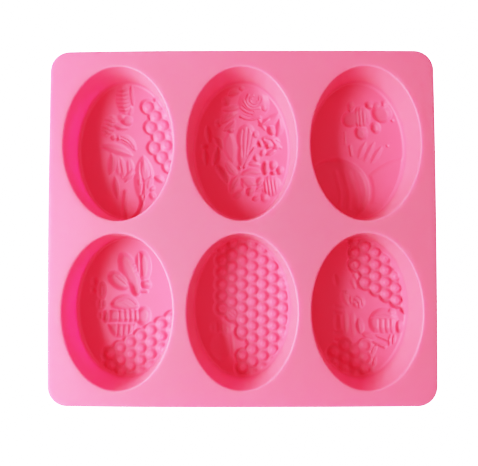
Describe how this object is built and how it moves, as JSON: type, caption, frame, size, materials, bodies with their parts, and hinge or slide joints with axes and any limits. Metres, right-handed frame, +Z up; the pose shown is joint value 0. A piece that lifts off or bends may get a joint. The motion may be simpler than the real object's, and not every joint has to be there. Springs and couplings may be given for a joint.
{
  "type": "silicone soap mould",
  "caption": "Soft one-piece moulded sheet with rows of oval cups; each cup floor is sunk with a bee, flower or honeycomb picture that stands raised on the finished bar.",
  "frame": {"origin": "centre of the resting plane, under the middle of the sheet", "axes": "+X across the columns (the long side), +Y towards the rear row, +Z up, out of the open cups"},
  "size_m": [0.211, 0.194, 0.027],
  "materials": {
    "silicone": "satin, slightly translucent pink silicone"
  },
  "bodies": {
    "root": {"deck_sheet": "silicone", "cavity_cup_rear_left": "silicone", "cavity_cup_rear_middle": "silicone", "cavity_cup_rear_right": "silicone", "cavity_cup_front_left": "silicone", "cavity_cup_front_middle": "silicone", "cavity_cup_front_right": "silicone", "relief_floor_rear_left": "silicone", "relief_floor_rear_middle": "silicone", "relief_floor_rear_right": "silicone", "relief_floor_front_left": "silicone", "relief_floor_front_middle": "silicone", "relief_floor_front_right": "silicone"}
  },
  "joints": []
}
